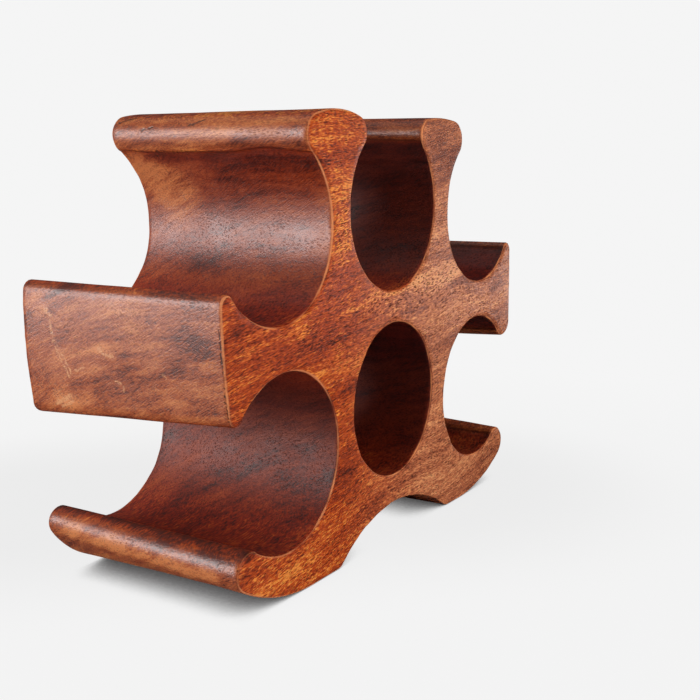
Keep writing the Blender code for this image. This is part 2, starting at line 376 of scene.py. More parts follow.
def underside(sizes, side, foot_tip, foot_angle):
    """The arch, its heel, the flat sole, the curve up to the tip of the foot and the tip."""
    arch_radius = (side.arch_reach ** 2 + sizes.arch_rise ** 2) / (2 * sizes.arch_rise)
    arch = Place(0, sizes.arch_rise - arch_radius, arch_radius)
    heel_drop = sizes.arch_heel - arch.z
    heel_x = math.sqrt((arch_radius + sizes.arch_heel) ** 2 - heel_drop ** 2)
    heel = Place(heel_x, sizes.arch_heel, sizes.arch_heel)
    sole_end = heel_x + side.sole_width
    tip_lift = foot_tip.z - foot_tip.radius
    curve_radius = ((foot_tip.x - sole_end) ** 2 / tip_lift + foot_tip.z + foot_tip.radius) / 2
    curve = Place(sole_end, curve_radius, curve_radius)
    arch_end = direction(arch, heel)
    foot_start = direction(curve, foot_tip)
    return np.concatenate([
        round_stretch(arch, UP, arch_end),
        round_stretch(heel, arch_end - math.pi, -UP)[1:],
        round_stretch(curve, -UP, foot_start),
        round_stretch(foot_tip, foot_start, past(foot_angle + math.pi, foot_start))[1:],
    ])


def walked(points):
    """How far along its line each point lies."""
    steps = np.hypot(*np.diff(points[:, :2], axis=0).T)
    return np.concatenate([[0], np.cumsum(steps)])


def with_reach(stretches):
    """The stretches joined, with a fifth column: how far a point lies from the nearest lip's end.

    Stretches alternate between wood that ends in lips and a bottle place, where the reach is
    positive. The first and the last stretch run on into the mirrored half.
    """
    joined = []
    for index, points in enumerate(stretches):
        along = walked(points)
        to_start = along if index else math.inf
        to_end = along[-1] - along if index < len(stretches) - 1 else math.inf
        sign = 1 if index % 2 else -1
        reach = sign * np.minimum(to_start, to_end)
        joined.append(np.column_stack([points, reach])[1 if index else 0:])
    return np.concatenate(joined)


def half_outline(sizes, side):
    """The right half of a face, from the middle of the arch to the lowest point of the notch."""
    notch, lower, upper = open_places(sizes, side)
    foot_angle, arm_bottom_angle = side.foot - UP, UP - side.arm_bottom
    arm_top_angle, horn_angle, notch_angle = side.arm_top - UP, UP + side.horn, UP - side.notch
    foot_tip = lip_beyond(lower, foot_angle, side.foot_lip)
    arm_bottom = lip_beyond(lower, arm_bottom_angle, side.arm_bottom_lip)
    arm_top = lip_beyond(upper, arm_top_angle, side.arm_top_lip)
    horn_lip = lip_beyond(upper, horn_angle, side.horn_lip)
    notch_lip = lip_beyond(notch, notch_angle, side.notch_lip)
    return with_reach([
        underside(sizes, side, foot_tip, foot_angle),
        round_stretch(lower, foot_angle, arm_bottom_angle - math.tau),
        bowed_end(arm_bottom, arm_bottom_angle, arm_top, arm_top_angle, side.arm_end_radius),
        round_stretch(upper, arm_top_angle, horn_angle - math.tau),
        bowed_end(horn_lip, horn_angle, notch_lip, notch_angle, side.crown_radius),
        round_stretch(notch, notch_angle, -UP),
    ])


def evenly(points, count):
    """The same line with that many equal steps along it."""
    along = walked(points)
    wanted = np.linspace(0, along[-1], count + 1)
    placed = np.stack([np.interp(wanted, along, column) for column in points.T], 1)
    placed[:, 2:4] /= np.hypot(placed[:, 2], placed[:, 3])[:, None]
    return placed


def block_outline(sizes, part, count):
    """The outline at that part of the depth, anticlockwise from the middle of the arch."""
    halves = []
    for front, back in zip(*carved_faces(sizes)):
        side = Side(*(ahead + (behind - ahead) * part for ahead, behind in zip(front, back)))
        halves.append(evenly(half_outline(sizes, side), count))
    left, right = halves
    return np.concatenate([right[:-1], (left * (-1, 1, -1, 1, 1))[:0:-1]])


# The block itself

# Steps round an edge, and lengths as shares of the mesh spacing: the steps through the depth and
# over a face, and how far the points of a face keep from its rims
ROUNDING_STEPS = 4
DEPTH_STEP, FACE_STEP, RIM_CLEARANCE = 1.15, 1.35, 0.7
# How many points stand for a rim of the block or of its hole when distances to it are taken
BLOCK_RIM_POINTS, HOLE_RIM_POINTS = 900, 300
# The carving fades out towards the flat soles between these heights
SOLE_TOP, SOLE_FADE = 0.0002, 0.006
# A hand-cut crease wanders this near a lip, in long waves to the metre and finer ones. Under the left
# horn it swings up near the front, and the right horn's lip over the notch ends higher up than its
# round. The wander also moves the painted shade under a lip and the painted dark line of its crease.
# Places in metres.
NEAR_A_LIP = 0.03
WANDER_WAVES, WANDER_WAVES_DEEP = 9, 22
WANDER_SHARE, FINER_SHARE, FINER_WAVES = 0.6, 0.3, 2.7
UNDER_HORN = 0.19
SWING_MIDDLE, SWING_WIDTH = -0.036, 0.014
NOTCH_LIP_FROM, NOTCH_LIP_TO, NOTCH_LIP_ABOVE = 0.02, 0.065, 0.205
NOTCH_LIP_RAISE = 0.0065
# The reach past a lip where there is no lip: on the flat faces, and in the bored hole
ON_A_FACE, IN_THE_HOLE = -1.0, 1.0


def loft_stations(sizes):
    """Where the block is cut for the loft, from the front: (how deep, how far in)."""
    rounding = sizes.edge_rounding
    turns = np.linspace(0, UP, ROUNDING_STEPS + 1)[:-1]
    near = [(rounding * (1 - math.cos(turn)), rounding * (1 - math.sin(turn))) for turn in turns]
    straight = sizes.depth - 2 * rounding
    count = math.ceil(straight / (DEPTH_STEP * sizes.spacing))
    middle = [(rounding + straight * step / count, 0) for step in range(count + 1)]
    return near + middle + [(sizes.depth - deep, inset) for deep, inset in reversed(near)]


def edge_softness(x, z, near_face):
    """How much rounder an edge is there than the rule makes it, from 0.75 to 1.35."""
    waves_to_the_metre, face_apart = 55, 7.0
    spot = Vector((x * waves_to_the_metre, near_face * face_apart, z * waves_to_the_metre))
    return 1.05 + 0.3 * noise.noise(spot)


def ring_points(sizes, outline, deep, inset):
    """One closed ring of points across the block."""
    near_face = -1 if deep < sizes.depth / 2 else 1
    soft = np.array([edge_softness(x, z, near_face) for x, z in outline[:, :2]])
    reach = min(deep, sizes.depth - deep)
    fade = 4 * sizes.edge_rounding
    soft = 1 + (soft - 1) * max(0.0, 1 - reach / fade)
    ring = np.empty((len(outline), 3))
    ring[:, 0] = outline[:, 0] - inset * soft * outline[:, 2]
    ring[:, 2] = outline[:, 1] - inset * soft * outline[:, 3]
    ring[:, 1] = near_face * (sizes.depth / 2 - reach * soft)
    return ring


def inside(points, ring):
    """Which (x, z) points lie inside a closed ring."""
    held = np.zeros(len(points), bool)
    for start, end in zip(ring, np.roll(ring, -1, axis=0)):
        crosses = (start[1] > points[:, 1]) != (end[1] > points[:, 1])
        if crosses.any():
            span = end[1] - start[1]
            at = start[0] + (points[:, 1] - start[1]) * (end[0] - start[0]) / (span or 1e-12)
            held ^= crosses & (points[:, 0] < at)
    return held


def flat_tree(points):
    """A search tree of flat points (x, z)."""
    tree = kdtree.KDTree(len(points))
    for index, (x, z) in enumerate(points):
        tree.insert((x, z, 0), index)
    tree.balance()
    return tree


def face_grid(outer, hole, spacing):
    """Inner points for a flat face, on a triangular grid that keeps clear of both rings."""
    rise = spacing * math.sqrt(3) / 2
    low, high = outer.min(0), outer.max(0)
    rows = np.arange(low[1] + rise, high[1], rise)
    points = np.array([
        (x, z)
        for index, z in enumerate(rows)
        for x in np.arange(low[0] + spacing * (0.5 if index % 2 else 1.0), high[0], spacing)
    ])
    points = points[inside(points, outer) & ~inside(points, hole)]
    edge = flat_tree(np.concatenate([outer, hole]))
    return points[[edge.find((x, z, 0))[2] > RIM_CLEARANCE * spacing for x, z in points]]


def face_triangles(outer, hole, inner):
    """Triangles between both rings, anticlockwise, as indices into outer, hole and inner."""
    points = [Vector(point) for point in np.concatenate([outer, hole, inner])]
    turns = [
        (first + start, first + (start + 1) % count)
        for first, count in ((0, len(outer)), (len(outer), len(hole))) for start in range(count)
    ]
    found = geometry.delaunay_2d_cdt(points, turns, [], 0, 1e-7)
    if len(found[0]) != len(points):
        raise RuntimeError("The face's grid met its outline: change the mesh spacing")
    triangles = np.array(found[2])
    middles = np.array(found[0])[triangles].mean(1)
    return triangles[inside(middles, outer) & ~inside(middles, hole)]


def smooth_fall(value, start, end):
    """1 at start falling smoothly to 0 at end."""
    t = np.clip((value - start) / (end - start), 0, 1)
    return 1 - t * t * (3 - 2 * t)


def wandering(points, reach, wander):
    """The reach past a lip's end with the wander of a line cut by hand, which runs along Y."""
    strayed = []
    for (x, y, z), value in zip(points, reach):
        if abs(value) < NEAR_A_LIP:
            spot = Vector((x * WANDER_WAVES, y * WANDER_WAVES_DEEP, z * WANDER_WAVES))
            waves = noise.noise(spot) + FINER_SHARE * noise.noise(spot * FINER_WAVES)
            value += WANDER_SHARE * wander * waves
            if x < 0 and z > UNDER_HORN:
                value += wander * math.exp(-(((y - SWING_MIDDLE) / SWING_WIDTH) ** 2))
            if NOTCH_LIP_FROM < x < NOTCH_LIP_TO and z > NOTCH_LIP_ABOVE:
                value += NOTCH_LIP_RAISE
        strayed.append(value)
    return np.array(strayed)


def store(mesh, name, values):
    """Keeps one number for each point under that name."""
    mesh.attributes.new(name, "FLOAT", "POINT").data.foreach_set("value", values.astype(np.float32))


def wall_faces(first, rings):
    """Four-sided faces between rings of points, which start at that point of the mesh."""
    ring = np.arange(len(rings[0]))
    onward = np.roll(ring, -1)
    faces = []
    for near in range(first, first + (len(rings) - 1) * len(ring), len(ring)):
        far = near + len(ring)
        faces += np.stack([near + ring, far + ring, far + onward, near + onward], 1).tolist()
    return faces


def block_mesh(sizes, wander):
    """The block in fine steps: lofted outline, bored hole, and flat front and back faces."""
    half_length = walked(half_outline(sizes, carved_faces(sizes)[0][0]))[-1]
    count = math.ceil(half_length / sizes.spacing)
    hole = hole_place(sizes)
    hole_count = math.ceil(math.tau * hole.radius / sizes.spacing)
    turned = evenly(round_stretch(hole, math.tau, 0), hole_count)[:-1]
    outer_rings, hole_rings, lip_reach = [], [], []
    for deep, inset in loft_stations(sizes):
        outline = block_outline(sizes, deep / sizes.depth, count)
        outer_rings.append(ring_points(sizes, outline, deep, inset))
        hole_rings.append(ring_points(sizes, turned, deep, inset))
        lip_reach.append(outline[:, 4])
    around, hole_first = len(outer_rings[0]), len(outer_rings) * len(outer_rings[0])
    points = np.concatenate(outer_rings + hole_rings)
    reach = np.full(len(points), IN_THE_HOLE)
    reach[:hole_first] = np.concatenate(lip_reach)
    reach[hole_first:hole_first + len(turned)] = reach[-len(turned):] = ON_A_FACE
    reach[:around] = reach[hole_first - around:hole_first] = ON_A_FACE
    reach = wandering(points, reach, wander)
    faces = wall_faces(0, outer_rings) + wall_faces(hole_first, hole_rings)
    for level, order in ((0, 1), (len(outer_rings) - 1, -1)):
        outer, bored = outer_rings[level], hole_rings[level]
        inner = face_grid(outer[:, ::2], bored[:, ::2], FACE_STEP * sizes.spacing)
        triangles = face_triangles(outer[:, ::2], bored[:, ::2], inner)[:, ::order]
        index = np.concatenate([
            level * around + np.arange(around),
            hole_first + level * len(bored) + np.arange(len(bored)),
            len(points) + np.arange(len(inner)),
        ])
        added = np.stack([inner[:, 0], np.full(len(inner), outer[0, 1]), inner[:, 1]], 1)
        points = np.concatenate([points, added])
        faces += index[triangles].tolist()
    mesh = bpy.data.meshes.new(BODY)
    mesh.from_pydata(points, [], faces)
    mesh.update()
    reach = np.pad(reach, (0, len(points) - len(reach)), constant_values=ON_A_FACE)
    store(mesh, "lip_reach", reach)
    return mesh


# Broad marks: (from, to, width, strength), in metres. The stains are partly marks of use and partly
# painted shade, such as the dark bands under the left horn's lip and along the top of the left arm; the
# rubs are marks of use
STAINS_AND_SHADE = (
    ((-0.1485, -0.033, 0.1316), (-0.148, -0.047, 0.1296), 0.01, 0.6),
    ((-0.148, -0.028, 0.1186), (-0.1477, -0.039, 0.119), 0.006, 0.5),
    ((-0.1516, 0.056, 0.1305), (-0.1513, 0.046, 0.1307), 0.01, 0.6),
    ((-0.066, 0.057, 0.154), (-0.065, -0.025, 0.195), 0.016, 0.55),
    ((-0.0735, 0.003, 0.2055), (-0.0705, -0.054, 0.2035), 0.015, 0.75),
    ((-0.0682, 0.003, 0.1984), (-0.0639, -0.045, 0.1904), 0.012, 0.7),
    ((-0.066, 0.022, 0.156), (-0.066, 0.018, 0.156), 0.01, 0.6),
    ((-0.071, -0.043, 0.148), (-0.072, -0.036, 0.146), 0.008, 0.7),
    ((-0.061, -0.01, 0.084), (-0.061, -0.057, 0.084), 0.004, 0.6),
    ((0.0273, -0.059, 0.1517), (0.1342, -0.059, 0.1553), 0.006, 0.5),
    ((-0.1396, -0.059, 0.1359), (-0.1285, -0.059, 0.1476), 0.008, 0.6),
    ((-0.0517, -0.059, 0.0878), (-0.0523, -0.059, 0.0514), 0.024, 0.5),
    ((0.0504, -0.059, 0.2172), (0.0694, -0.059, 0.206), 0.03, 1.2),
    ((-0.082, -0.018, 0.2153), (-0.0812, -0.0542, 0.215), 0.007, 1.0),
    ((0.0527, -0.059, 0.1317), (0.1342, -0.059, 0.1403), 0.005, 0.4),
    ((-0.15, 0.059, 0.15), (-0.146, -0.059, 0.15), 0.006, 0.8),
    ((-0.146, 0.059, 0.09), (-0.141, -0.059, 0.092), 0.006, 0.5),
    ((-0.136, 0.059, 0.0362), (-0.1345, -0.059, 0.0335), 0.008, 1.1),
    ((-0.1415, 0.034, 0.0335), (-0.1405, -0.05, 0.0295), 0.006, 0.6),
    ((0.07, -0.059, 0.134), (0.145, -0.059, 0.15), 0.005, 0.9),
    ((0.125, -0.059, 0.125), (0.135, -0.059, 0.129), 0.009, 0.9),
)
RUBS = (
    ((-0.149, 0.04, 0.098), (-0.148, 0.033, 0.095), 0.006, 0.9),
    ((-0.15, 0.012, 0.1234), (-0.1495, 0.004, 0.1203), 0.005, 0.9),
    ((-0.1475, -0.05, 0.1206), (-0.1475, -0.051, 0.12), 0.006, 0.7),
    ((-0.1514, 0.05, 0.141), (-0.1512, 0.046, 0.138), 0.012, 0.6),
    ((-0.15, 0.003, 0.144), (-0.1495, -0.01, 0.144), 0.014, 0.5),
    ((-0.082, 0.059, 0.2285), (-0.077, 0.006, 0.23), 0.0075, 1.2),
    ((-0.074, 0.04, 0.2305), (-0.066, -0.056, 0.231), 0.009, 0.7),
    ((-0.0816, 0.056, 0.213), (-0.0816, 0.01, 0.2125), 0.006, 0.7),
    ((-0.093, -0.059, 0.0115), (-0.081, -0.059, 0.002), 0.006, 0.9),
    ((-0.128, 0.059, 0.014), (-0.124, -0.059, 0.014), 0.013, 0.4),
    ((-0.1438, 0.044, 0.027), (-0.1425, -0.045, 0.0215), 0.006, 1.1),
    ((0.064, -0.059, 0.214), (0.06, -0.059, 0.205), 0.012, 0.6),
    ((-0.0675, -0.059, 0.2118), (-0.0546, -0.059, 0.1975), 0.014, 0.6),
    ((-0.0503, -0.059, 0.1704), (-0.0501, -0.059, 0.1925), 0.018, 1.4),
    ((-0.0556, -0.059, 0.1341), (0.0774, -0.059, 0.1415), 0.012, 0.8),
    ((-0.1222, -0.059, 0.0165), (-0.0673, -0.059, 0.0027), 0.016, 0.45),
    ((-0.043, -0.059, 0.022), (0.0048, -0.059, 0.031), 0.018, 0.3),
    ((-0.09, -0.059, 0.127), (-0.05, -0.059, 0.118), 0.011, 0.8),
    ((-0.076, 0.059, 0.206), (-0.065, 0.036, 0.19), 0.024, 1.3),
)


def drawn(points, marks):
    """How strongly each point lies on the strongest of the broad marks."""
    strongest = np.zeros(len(points))
    for start, end, width, strength in marks:
        start, run = np.array(start), np.subtract(end, start)
        part = np.clip((points - start) @ run / (run @ run), 0, 1)
        off = np.linalg.norm(points - start - part[:, None] * run, axis=1)
        strongest = np.maximum(strongest, strength * smooth_fall(off, 0, width))
    return strongest


def mark_surface(mesh, sizes):
    """Stores what the carving and the wood read: the way to an edge, the soles, stains with painted
    shade, and rubs.
    """
    points = np.array([v.co for v in mesh.vertices])
    deep = sizes.depth / 2 - np.abs(points[:, 1])
    hole = evenly(round_stretch(hole_place(sizes), math.tau, 0), HOLE_RIM_POINTS)
    rims = [
        flat_tree(np.concatenate([block_outline(sizes, part, BLOCK_RIM_POINTS)[:, :2], hole[:, :2]]))
        for part in (0, 1)
    ]
    inward = np.array([rims[0 if y < 0 else 1].find((x, z, 0))[2] for x, y, z in points])
    store(mesh, "edge_reach", np.hypot(inward, deep))
    store(mesh, "sole", smooth_fall(points[:, 2], SOLE_TOP, SOLE_FADE))
    store(mesh, "stain", drawn(points, STAINS_AND_SHADE))
    store(mesh, "rub", drawn(points, RUBS))


# Short ways to build node trees

NUMBER, VECTOR, GEOMETRY = "NodeSocketFloat", "NodeSocketVector", "NodeSocketGeometry"
HALF = (0.5, 0.5, 0.5)


class Wire:
    """What one node gives to others: a number, a vector or a colour, which arithmetic can use."""

    def __init__(self, socket):
        self.socket = socket
        self.tree = socket.id_data

    def __add__(self, other):
        return calculate("ADD", self, other)

    def __sub__(self, other):
        return calculate("SUBTRACT", self, other)

    def __rsub__(self, other):
        return calculate("SUBTRACT", other, self)

    def __mul__(self, other):
        return calculate("MULTIPLY", self, other)

    def __truediv__(self, other):
        return calculate("DIVIDE", self, other)

    def __rtruediv__(self, other):
        return calculate("DIVIDE", other, self)

    def __abs__(self):
        return calculate("ABSOLUTE", self)

    __radd__ = __add__


def add_node(tree, kind, values=None, **settings):
    """A new node with its settings, and its inputs set or wired by name or number."""
    made = tree.nodes.new(kind)
    for name, value in settings.items():
        setattr(made, name, value)
    for socket, value in (values or {}).items():
        if isinstance(value, Wire):
            tree.links.new(value.socket, made.inputs[socket])
        else:
            made.inputs[socket].default_value = value
    return made


def gives(tree, kind, values=None, output=0, **settings):
    """One output of a new node."""
    return Wire(add_node(tree, kind, values, **settings).outputs[output])


def calculate(operation, *values, output=0):
    """A math node's result, or a vector math node's where a wire holds more than one number."""
    wires = [value for value in values if isinstance(value, Wire)]
    wide = any(wire.socket.type in ("VECTOR", "RGBA") for wire in wires)
    kind = "ShaderNodeVectorMath" if wide else "ShaderNodeMath"
    return gives(wires[0].tree, kind, dict(enumerate(values)), output, operation=operation)


def larger(first, second):
    """The larger of two numbers."""
    return calculate("MAXIMUM", first, second)


def split(vector):
    """The three numbers of a vector."""
    node = add_node(vector.tree, "ShaderNodeSeparateXYZ", {0: vector})
    return [Wire(socket) for socket in node.outputs]


def mapped(vector, turn, shift=(0, 0, 0)):
    """A vector turned and then shifted."""
    values = {"Vector": vector, "Rotation": turn, "Location": shift}
    return gives(vector.tree, "ShaderNodeMapping", values)


def cloudy(vector, scale, detail=2.0, roughness=0.5, w=0.0, output="Fac"):
    """Noise from 0 to 1, at a scale in waves to the metre."""
    values = {"Vector": vector, "W": w, "Scale": scale, "Detail": detail, "Roughness": roughness}
    return gives(vector.tree, "ShaderNodeTexNoise", values, output, noise_dimensions="4D")


def ramp(value, low, high, to_low=0.0, to_high=1.0):
    """A number taken smoothly from one range to another."""
    values = {"Value": value, "From Min": low, "From Max": high, "To Min": to_low, "To Max": to_high}
    return gives(value.tree, "ShaderNodeMapRange", values, interpolation_type="SMOOTHSTEP")


def weighed(start, *parts):
    """A start value plus each part's distance from one half, times its weight."""
    for value, weight in parts:
        start = start + (value - 0.5) * weight
    return start


def opaque(shade):
    """A plain colour with full alpha, as a socket wants it."""
    return shade if isinstance(shade, Wire) else (*shade, 1.0)


def blend(factor, first, second, blend_type="MIX"):
    """Two colours mixed."""
    values = {0: factor, 6: opaque(first), 7: opaque(second)}
    return gives(factor.tree, "ShaderNodeMix", values, 2, data_type="RGBA", blend_type=blend_type)


def graded(value, *stops):
    """A colour picked along stops, each (position, colour), in rising order."""
    node = add_node(value.tree, "ShaderNodeValToRGB", {0: value})
    elements = node.color_ramp.elements
    for element, (position, shade) in ((elements[0], stops[0]), (elements[-1], stops[-1])):
        element.position, element.color = position, opaque(shade)
    for position, shade in stops[1:-1]:
        elements.new(position).color = opaque(shade)
    return Wire(node.outputs[0])


def numbers(*labels):
    """Number sockets with these labels."""
    return dict.fromkeys(labels, NUMBER)


def new_group(name, kind, inputs, outputs):
    """A node group with sockets as {label: socket type}, and the wires that its inputs give."""
    tree = bpy.data.node_groups.new(name, kind)
    for way, sockets in (("INPUT", inputs), ("OUTPUT", outputs)):
        for label, socket_type in sockets.items():
            tree.interface.new_socket(label, in_out=way, socket_type=socket_type)
    return tree, {socket.name: Wire(socket) for socket in tree.nodes.new("NodeGroupInput").outputs}


def new_object(name, data):
    """A new object in the scene."""
    item = bpy.data.objects.new(name, data)
    bpy.context.scene.collection.objects.link(item)
    return item


def cleared(data):
    """The empty node tree of a new material or world."""
    data.use_nodes = True
    data.node_tree.nodes.clear()
    return data.node_tree


# The carved surface

# How far past a lip the crease is deepest, in metres, and the waves of its depth to the metre
CREASE_FOOT = 0.0018
CREASE_WAVES = 31.0
# How far past a lip the painted dark line of shade in a crease lies, in metres
CREASE_SHADE_LINE = 0.0012


def carving_tree():
    """Geometry Nodes that push the surface inwards: waves, scallops, creases and worn edges."""
    tree, given = new_group(
        "Hand carving", "GeometryNodeTree",
        {"Geometry": GEOMETRY, "Seed": "NodeSocketInt", "Material": "NodeSocketMaterial", **numbers(
            "Wave Depth", "Wave Size", "Scallop Depth", "Scallop Size", "Wear Depth", "Wear Size",
            "Crease Depth", "Crease Reach")},
        {"Geometry": GEOMETRY},
    )

    def stored(name):
        return gives(
            tree, "GeometryNodeInputNamedAttribute", {"Name": name}, "Attribute", data_type="FLOAT"
        )

    place = gives(tree, "GeometryNodeInputPosition")
    outward = gives(tree, "GeometryNodeInputNormal")
    edge, lip, seed = stored("edge_reach"), stored("lip_reach"), given["Seed"]
    waves = cloudy(place, 1.0 / given["Wave Size"], detail=1.0, w=seed)
    drawn_out = place * (0.45, 0.35, 1.0)
    scallops = cloudy(drawn_out, 1.0 / given["Scallop Size"], detail=1.5, w=seed)
    # Wear comes in spots, and ends 1.4 mm from the rim
    worn = cloudy(place, 1.0 / given["Wear Size"], detail=2.5, w=seed)
    worn = ramp(worn, 0.35, 0.75) * ramp(edge, 0.0005, 0.0014, 1.0, 0.0)
    # A crease drops sharply just past the lip and runs out into the cradle. It is shallow in the
    # last 4 mm before the rim.
    drop = ramp(lip, -0.0004, CREASE_FOOT) * (1.0 - ramp(lip, CREASE_FOOT, given["Crease Reach"]))
    drop = drop * ramp(edge, 0.0, 0.004, 0.25)
    strength = cloudy(place, CREASE_WAVES, detail=0.0, w=seed)
    drop = drop * ramp(strength, 0.25, 0.6, 0.35)
    depth = weighed(0.0, (waves, given["Wave Depth"]), (scallops, given["Scallop Depth"]))
    depth = depth + worn * given["Wear Depth"] + drop * given["Crease Depth"]
    depth = depth * (1.0 - stored("sole"))
    moved = gives(
        tree, "GeometryNodeSetPosition",
        {"Geometry": given["Geometry"], "Offset": outward * (depth * -1.0)},
    )
    single = gives(tree, "GeometryNodeRealizeInstances", {"Geometry": moved})
    painted = gives(
        tree, "GeometryNodeSetMaterial", {"Geometry": single, "Material": given["Material"]}
    )
    add_node(tree, "NodeGroupOutput", {"Geometry": painted})
    return tree


def carved(mesh, tree, values):
    """The plain mesh that a Geometry Nodes tree makes of a mesh, with its named inputs set."""
    item = new_object(BODY + "_work", mesh)
    modifier = item.modifiers.new("Carving", "NODES")
    modifier.node_group = tree
    for socket in tree.interface.items_tree:
        if socket.in_out == "INPUT" and socket.name in values:
            modifier[socket.identifier] = values[socket.name]
    evaluated = item.evaluated_get(bpy.context.evaluated_depsgraph_get())
    result = bpy.data.meshes.new_from_object(evaluated)
    item.modifiers.remove(modifier)
    bpy.data.objects.remove(item)
    return result


def keep_in_frame(mesh):
    """Brings any point that stands a hair outside the CAD box back to it."""
    points = np.array([v.co for v in mesh.vertices])
    kept = np.clip(points, np.array(CAD_LOW), np.array(CAD_HIGH))
    mesh.vertices.foreach_set("co", kept.astype(np.float32).ravel())
    mesh.update()


# The wood


def grain_group():
    """Tone, fibres and pores of a wood with interlocked grain, whose fibres run along X."""
    tree, given = new_group(
        "Hardwood grain", "ShaderNodeTree",
        {"Vector": VECTOR, **numbers("Band Width", "Streak Width", "Pore Length", "Pore Width")},
        numbers("Bands", "Streaks", "Fibres", "Pores", "Flecks"),
    )
    # Turn the block in its trunk, so that the fibres run along X and the rings are stacked along Z
    turned = mapped(given["Vector"], turn=(0.607, 0.082, 0.057), shift=(0, 0, 0.02))
    wide = cloudy(turned * (0.6, 1.0, 1.0), 14.0, detail=1.0, output="Color")
    near = cloudy(turned * (0.4, 1.0, 1.0), 80.0, detail=1.0, output="Color")
    bent = turned + (wide - HALF) * (0.010, 0.026, 0.026) + (near - HALF) * (0.004, 0.0024, 0.0024)
    fibre, tangent, ring = split(bent)
    # The growth rings bow round the heart of the trunk
    ring = ring + tangent * tangent * 2.2

    def layered(fibre_scale, tangent_scale, ring_scale):
        """The place in the wood, with each direction at its own scale in waves to the metre."""
        scaled = (fibre * fibre_scale, tangent * tangent_scale, ring * ring_scale)
        return gives(tree, "ShaderNodeCombineXYZ", dict(enumerate(scaled)))

    def pore_cells(longer, wider, size, kept):
        """Dark dashes: short cells drawn out along the fibres, of which a share is kept."""
        per_length = 1.0 / (given["Pore Length"] * longer)
        per_width = 1.0 / (given["Pore Width"] * wider)
        cells = add_node(tree, "ShaderNodeTexVoronoi", {
            "Vector": layered(per_length, per_width * 0.75, per_width), "Scale": 1.0,
            "Randomness": 1.0,
        })
        chosen = gives(tree, "ShaderNodeSeparateColor", {0: Wire(cells.outputs["Color"])})
        dash = ramp(Wire(cells.outputs["Distance"]), size, size + 0.16, 1.0, 0.0)
        return dash * ramp(chosen, 1 - kept, 1.2 - kept)

    per_band, per_streak = 1.0 / given["Band Width"], 1.0 / given["Streak Width"]
    crowded = cloudy(layered(30.0, 60.0, 60.0), 1.0, detail=1.5)
    fine = pore_cells(longer=0.6, wider=0.9, size=0.29, kept=0.85) * ramp(crowded, 0.36, 0.60, 0.5)
    coarse = pore_cells(longer=1.3, wider=1.0, size=0.25, kept=0.20)
    add_node(tree, "NodeGroupOutput", {
        "Bands": cloudy(layered(6.0, 18.0, per_band), 1.0, detail=2.5),
        "Streaks": cloudy(layered(20.0, per_streak * 0.18, per_streak), 1.0),
        "Fibres": cloudy(layered(150.0, 480.0, 1300.0), 1.0, detail=1.0, roughness=0.6),
        "Pores": larger(fine, coarse),
        "Flecks": cloudy(layered(400.0, 1350.0, 1350.0), 1.0, detail=0.5),
    })
    return tree


def wear_group():
    """Where handling has rubbed an edge pale and where a rounded edge catches light, as a narrow and
    broken line: partly wear, partly a painted highlight.
    """
    tree, given = new_group(
        "Edge wear", "ShaderNodeTree",
        {"Vector": VECTOR, **numbers("Edge Reach", "Line Width", "Spot Size")}, numbers("Wear"),
    )
    spots = cloudy(given["Vector"], 1.0 / given["Spot Size"], detail=3.0)
    line = weighed(given["Edge Reach"] / given["Line Width"], (spots, -1.1))
    wear = ramp(line, 0.45, 1.05, 1.0, 0.0) * ramp(spots, 0.36, 0.62, 0.7, 1.0)
    add_node(tree, "NodeGroupOutput", {"Wear": wear})
    return tree


# The two hatches of the scraper: how each is turned and drawn out, and its weight
HATCHES = (
    ((0.52, 0.0, 0.15), (0.6, 0.09, 1.0), 0.8),
    ((-0.5, 0.3, 0.2), (0.6, 0.2, 1.0), 0.3),
)


def handling_group():
    """Smudges of old oil, and the fine hatch that the scraper left across the fibres."""
    tree, given = new_group(
        "Handling marks", "ShaderNodeTree",
        {"Vector": VECTOR, **numbers("Smudge Size", "Hatch Size")}, numbers("Smudges", "Hatch"),
    )
    place, per_hatch = given["Vector"], 1.0 / given["Hatch Size"]
    smudges = cloudy(place, 1.0 / given["Smudge Size"], detail=3.5, roughness=0.62)
    hatch = 0.5
    for turn, drawn_out, weight in HATCHES:
        hatch = weighed(hatch, (cloudy(mapped(place, turn) * drawn_out, per_hatch, 1.0), weight))
    add_node(tree, "NodeGroupOutput", {"Smudges": smudges, "Hatch": hatch})
    return tree


def mark_group():
    """How much a point lies on a mark drawn from one point to another."""
    name = "Drawn mark"
    if name in bpy.data.node_groups:
        return bpy.data.node_groups[name]
    tree, given = new_group(
        name, "ShaderNodeTree", {"Vector": VECTOR, "From": VECTOR, "To": VECTOR, "Width": NUMBER},
        numbers("Mark"),
    )
    run = given["To"] - given["From"]
    way = given["Vector"] - given["From"]
    part = calculate("DOT_PRODUCT", way, run, output=1) / calculate("DOT_PRODUCT", run, run, output=1)
    part = calculate("MINIMUM", larger(part, 0.0), 1.0)
    off = calculate("DISTANCE", way, run * part, output=1) / given["Width"]
    add_node(tree, "NodeGroupOutput", {"Mark": ramp(off, 0.3, 1.0, 1.0, 0.0)})
    return tree


